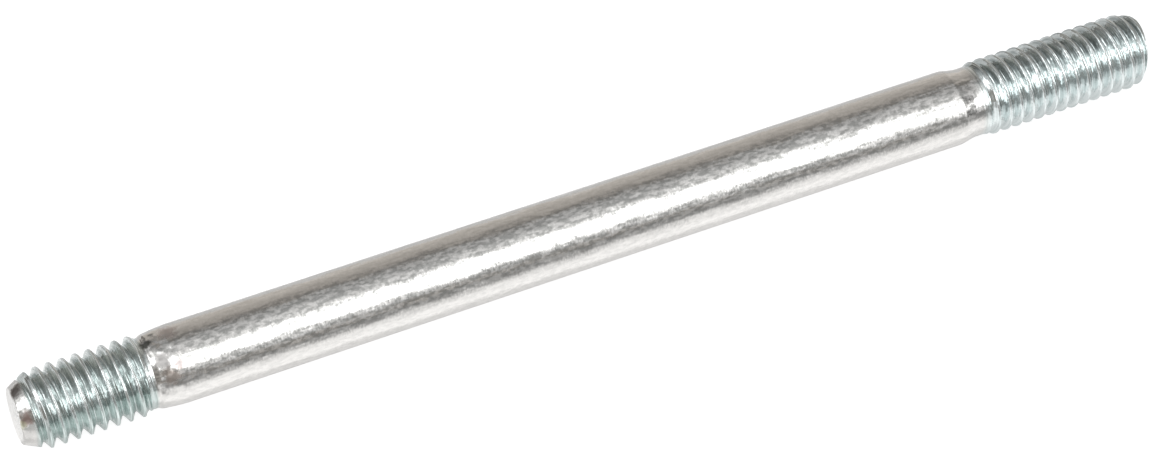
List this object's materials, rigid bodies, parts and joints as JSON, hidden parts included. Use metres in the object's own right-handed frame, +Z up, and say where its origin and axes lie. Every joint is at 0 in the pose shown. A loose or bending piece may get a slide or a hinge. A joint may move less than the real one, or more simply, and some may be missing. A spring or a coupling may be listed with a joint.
{
  "type": "cylinder head stud",
  "caption": "Straight steel stud with a plain shank, necked shoulders and a rolled metric thread at each end, a short one and a long one.",
  "frame": {"origin": "centre of the end face of the short thread, the one that screws into the crankcase", "axes": "+X along the stud's axis from the short thread to the long one, +Z up with the stud lying down"},
  "size_m": [0.093, 0.006, 0.006],
  "materials": {
    "zinc_plated_steel": "bright zinc plating on turned steel, fine-grained, semi-gloss"
  },
  "bodies": {
    "root": {"stud": "zinc_plated_steel"}
  },
  "joints": []
}
